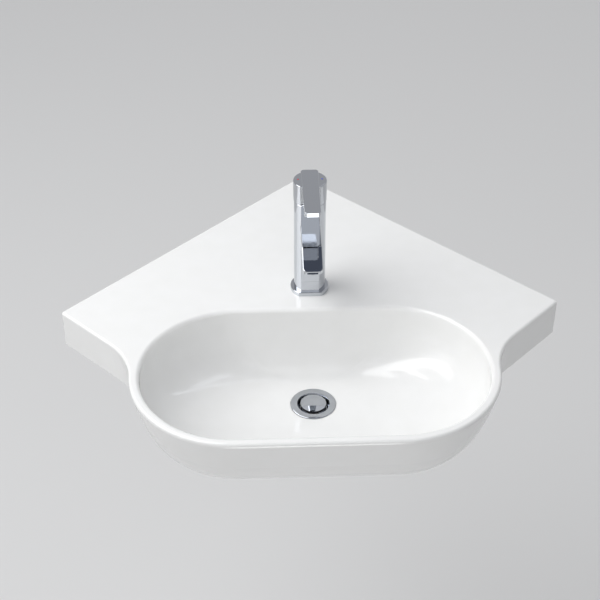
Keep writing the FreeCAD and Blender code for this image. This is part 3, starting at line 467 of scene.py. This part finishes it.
# %% The pair's tree
pair_tree, given = new_tree("pair_of_bars", [
    ("Bar", "Object", None), ("Left", "Vector", None), ("Right", "Vector", None),
    ("Material", "Material", None)])
points = add(pair_tree, "GeometryNodeMeshLine", {
    "Count": 2, "Start Location": given.outputs["Left"], "Offset": given.outputs["Right"]
}, mode="END_POINTS")
number = add(pair_tree, "GeometryNodeInputIndex")
sideways = add(pair_tree, MATH, {0: number, 1: -pi / 2, 2: pi / 4}, operation="MULTIPLY_ADD")
heading = add(pair_tree, "ShaderNodeCombineXYZ", {"X": -pi / 2, "Z": sideways})
source = add(pair_tree, "GeometryNodeObjectInfo", {"Object": given.outputs["Bar"]})
placed = add(pair_tree, "GeometryNodeInstanceOnPoints", {"Points": points,
                                                         "Instance": source.outputs["Geometry"],
                                                         "Rotation": heading})
end_tree(pair_tree, placed)
print("nodes in the pair:", len(pair_tree.nodes))

# %% [markdown]
# A modifier's inputs are found by the socket's identifier, because two sockets may share a
# name. The result is copied to a plain mesh before anything else uses it, so that the
# object sits at the origin with its place in its mesh.

# %% From a tree to a plain piece
def grow(name, tree, **wanted):
    """Run a tree with the wanted inputs and keep the result as a plain mesh."""
    blank = bpy.data.objects.new(name, bpy.data.meshes.new(name))
    bpy.context.scene.collection.objects.link(blank)
    modifier = blank.modifiers.new(tree.name, "NODES")
    modifier.node_group = tree
    for item in tree.interface.items_tree:
        key = item.name.replace(" ", "_")
        if item.in_out == "INPUT" and key in wanted:
            modifier[item.identifier] = wanted[key]
    evaluated = blank.evaluated_get(bpy.context.evaluated_depsgraph_get())
    mesh = bpy.data.meshes.new_from_object(evaluated)
    blank.modifiers.clear()
    blank.data = mesh
    print(name, "has", len(mesh.polygons), "faces")
    return blank


# %% [markdown]
# ## The wall bolts
# Two steel bolts carry the basin. Each mount at the back gives a point in the wall and the
# bolt's direction, so the bolts start at the nut's end, a known length back from there.
# The single bar is taken out again once the pair is made from it.

# %% The wall bolts
mounts = {mount["name"]: mount for mount in frame["record"]["mounts"]}
nut_end = 60 * MM           # from the middle of the wall's thread back to the nut's end
left, right = (Vector(mounts[name]["pos_m"]) - Vector(mounts[name]["axis"]) * nut_end
               for name in ("hanger_left", "hanger_right"))
one_bolt = grow("one_bolt", bar_tree, Length=93 * MM, Radius=5 * MM, Fine_Pitch=1.5 * MM,
                Coarse_Pitch=4.5 * MM, Neck_From=23 * MM, Neck_To=32 * MM,
                Neck_Radius=4.5 * MM, Point_Length=5 * MM, Rows=500, Sides=29,
                Material=zinc_plate)
wall_bolts = grow("wall_bolts", pair_tree, Bar=one_bolt, Left=left, Right=right,
                  Material=zinc_plate)
bpy.data.objects.remove(one_bolt)
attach(wall_bolts, "fixed_set")
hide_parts("hanger_bolts")

# %% [markdown]
# ## The tap's stud
# One long stud under the deck pulls the tap down on it. It is the same bar with one fine
# thread from end to end, so the neck is put at its very end, where nothing is left of it.
# It stands where its CAD piece does.

# %% The tap's stud
stud_radius = 4 * MM
stud_pitch = 1.25 * MM
row_height = 0.2 * MM       # of the grid's rows, six to a pitch
low, high = (Vector(corner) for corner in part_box("clamp_stud"))
stud_length = high.z - low.z
stud = grow("tap_stud", bar_tree, Length=stud_length, Radius=stud_radius,
            Fine_Pitch=stud_pitch, Coarse_Pitch=stud_pitch, Neck_From=stud_length,
            Neck_To=stud_length, Neck_Radius=stud_radius, Point_Length=1 * MM,
            Rows=round(stud_length / row_height), Sides=25, Material=turned_brass)
stud.data.transform(Matrix.Translation(((low.x + high.x) / 2, (low.y + high.y) / 2, low.z)))
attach(stud, "fixed_set")
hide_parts("clamp_stud")

# %% [markdown]
# ## Things that are wound
# The waste's tail has a wide, shallow pipe thread that the trap's nut runs on. The tail
# itself is right as it is, so here only the crest is added: a helix is the path, and a
# small diamond is drawn along it. Its outer corner is the crest; the rest is in the tail.
# A coil spring is the same thing with a round section, so the tree asks for the section's
# number of sides and serves for both.

# %% The tree of what winds about an axis
winding_tree, given = new_tree("winding", [
    ("Radius", "Float", 0.02), ("Height", "Float", 0.03), ("Pitch", "Float", 0.002),
    ("Section Radius", "Float", 0.001), ("Section Sides", "Int", 4),
    ("Material", "Material", None)])
want = given.outputs
rotations = add(winding_tree, MATH, {0: want["Height"], 1: want["Pitch"]}, operation="DIVIDE")
helix = add(winding_tree, "GeometryNodeCurveSpiral", {
    "Resolution": 72, "Rotations": rotations, "Start Radius": want["Radius"],
    "End Radius": want["Radius"], "Height": want["Height"]})
level = add(winding_tree, "GeometryNodeSetCurveNormal", {0: helix}, mode="Z_UP")
section = add(winding_tree, "GeometryNodeCurvePrimitiveCircle", {
    "Resolution": want["Section Sides"], "Radius": want["Section Radius"]})
wound = add(winding_tree, "GeometryNodeCurveToMesh", {"Curve": level, "Profile Curve": section,
                                                      "Fill Caps": True})
end_tree(winding_tree, wound)
print("nodes in the winding:", len(winding_tree.nodes))

# %% [markdown]
# ## The waste's tail thread
# The mount at the tail says how wide and how long the thread is, and a pipe of this size
# has eleven turns to the inch. The path runs just inside the tail's surface, so that only
# the diamond's outer corner stands out, and it stops short of the thread's two ends by as
# much as the diamond needs.

# %% The waste's tail thread
pipe_pitch = 2.309 * MM     # eleven turns to the inch
crest_radius = 1.0 * MM     # from the middle of the diamond to its corner
path_inset_mm = 0.6         # how far the path runs inside the tail's surface
tail = mounts["waste_tail"]
tail_middle = Vector(tail["pos_m"])
thread_height = tail["dims"]["length_mm"] * MM - 2 * crest_radius
tail_thread = grow("tail_thread", winding_tree,
                   Radius=(tail["dims"]["r_mm"] - path_inset_mm) * MM, Height=thread_height,
                   Pitch=pipe_pitch, Section_Radius=crest_radius, Section_Sides=4,
                   Material=bright_chrome)
tail_thread.data.transform(Matrix.Translation(tail_middle - Vector((0, 0, thread_height / 2))))
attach(tail_thread, "fixed_set")
print("pipe thread turns:", round(thread_height / pipe_pitch, 1))

# %% [markdown]
# ## The plug's spring
# The plug's spring sits in its cage and is pressed by the plunger. Here it is a helix of round wire
# with seven even turns, as tall as its CAD piece, standing on the piece's foot.

# %% The plug's spring
low, high = (Vector(corner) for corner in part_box("plug_spring"))
wire_radius = 0.35 * MM
spring_turns = 7
coil_height = high.z - low.z - 2 * wire_radius
foot = Vector(((low.x + high.x) / 2, (low.y + high.y) / 2, low.z))
coil_spring = grow("coil_spring", winding_tree, Radius=(high.x - low.x) / 2 - wire_radius,
                   Height=coil_height, Pitch=coil_height / spring_turns,
                   Section_Radius=wire_radius, Section_Sides=12, Material=drawn_stainless)
coil_spring.data.transform(Matrix.Translation(foot + Vector((0, 0, wire_radius))))
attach(coil_spring, "fixed_set")
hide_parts("plug_spring")
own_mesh(coil_spring)

# %% [markdown]
# ## The studio
# A plain pale floor, round soft lamps and a pale sky show the basin and nothing else.
#
# A basin hangs with its deck 850 mm over the floor. The floor is so wide that its edge is
# out of the picture from the photograph's angle, and a far horizon from a low one. It is a
# dull grey paint that also glows a little, but only where it is seen, straight or in a
# mirror: it looks pale all over and throws no light of its own up on the basin.

# %% Floor
half_width = 30.0           # metres
deck_height = 850 * MM
floor_glow = 0.3
floor_mesh = bpy.data.meshes.new("floor")
floor_mesh.from_pydata([(-half_width, -half_width, 0), (half_width, -half_width, 0),
                        (half_width, half_width, 0), (-half_width, half_width, 0)],
                       [], [(0, 1, 2, 3)])
floor = bpy.data.objects.new("floor", floor_mesh)
floor.location.z = -deck_height
bpy.context.scene.collection.objects.link(floor)
paint, tree, shader, _ = new_finish("floor_paint", Base_Color=linear("A8A8A8"), Roughness=0.9,
                                    Emission_Color=linear("FFFFFF"))
ray = add(tree, "ShaderNodeLightPath")
seen = add(tree, MATH, {0: ray.outputs["Is Camera Ray"], 1: ray.outputs["Is Glossy Ray"]},
           operation="MAXIMUM")
shown = add(tree, MATH, {0: seen, 1: ray.outputs["Is Transmission Ray"]}, operation="MAXIMUM")
glow = add(tree, MATH, {0: shown, 1: floor_glow}, operation="MULTIPLY")
tree.links.new(glow.outputs[0], shader.inputs["Emission Strength"])
floor_mesh.materials.append(paint)
print("floor, mm under the deck:", round(-floor.location.z / MM))

# %% [markdown]
# ## Lamps
# A large lamp close to the object gives soft shadows. These are round, because their
# mirror images in the chrome and in the glaze would show a square lamp's corners. The key
# lamp is high on the left, and weak ones from behind, from the left and from the front
# open its shadows. The low one lights the bowl's underside, which a floor alone leaves too
# dark. A lamp's power is worked out from how bright its face is and how large, so that it
# looks as bright in a mirror at any size.

# %% Lamps
def lamp(name, place, aim, size, strength):
    """A round soft lamp: its face has this brightness and its width is this size in metres."""
    data = bpy.data.lights.new(name, "AREA")
    data.shape = "DISK"
    data.size = size
    face = pi / 4 * size * size
    data.energy = strength * pi * face
    lamp_object = bpy.data.objects.new(name, data)
    lamp_object.location = place
    lamp_object.rotation_euler = (Vector(aim) - Vector(place)).to_track_quat("-Z", "Y").to_euler()
    lamp_object.visible_camera = False
    bpy.context.scene.collection.objects.link(lamp_object)


middle = (0, -0.4, 0)       # of the basin's deck, in metres
lamp("key_lamp", (-1.5, -0.45, 2.1), middle, 2.7, 3.1)
lamp("back_lamp", (0.3, 1.0, 2.4), middle, 2.2, 0.3)
lamp("left_lamp", (-2.6, -1.0, 1.0), middle, 1.8, 0.6)
lamp("front_lamp", (0.3, -3.2, 2.4), middle, 2.0, 0.6)
lamp("low_lamp", (-0.03, -1.3, -0.65), (0, -0.65, -0.05), 0.5, 3.1)
print("lamps:", len(bpy.data.lights))

# %% [markdown]
# ## Sky
# The sky is pale at the horizon and a little darker higher up. Only close to straight
# overhead it is really dark, as a studio's ceiling is between the lamps: white glaze
# hardly shows it, but chrome needs something dark to reflect, or it looks like white
# plastic. A colour ramp over the height of the line of sight does this.

# %% Sky
sky_strength = 1.12
world = bpy.data.worlds.new("studio")
bpy.context.scene.world = world
world.use_nodes = True
tree = world.node_tree
tree.nodes.clear()
direction = add(tree, "ShaderNodeTexCoord").outputs["Generated"]
height = add(tree, "ShaderNodeSeparateXYZ", {"Vector": direction}).outputs["Z"]
sky = add(tree, "ShaderNodeValToRGB", {"Fac": height})
sky.color_ramp.elements[0].color = linear("D0D0D0")
sky.color_ramp.elements[1].color = linear("4E535F")
for stop, shade in ((0.64, "A6A7AA"), (0.88, "A0A2A6"), (0.96, "62676F")):
    sky.color_ramp.elements.new(stop).color = linear(shade)
air = add(tree, "ShaderNodeBackground", {"Color": sky.outputs["Color"], "Strength": sky_strength})
add(tree, "ShaderNodeOutputWorld", {"Surface": air})
bpy.context.scene.view_settings.view_transform = "Standard"
print("shades in the sky:", len(sky.color_ramp.elements))
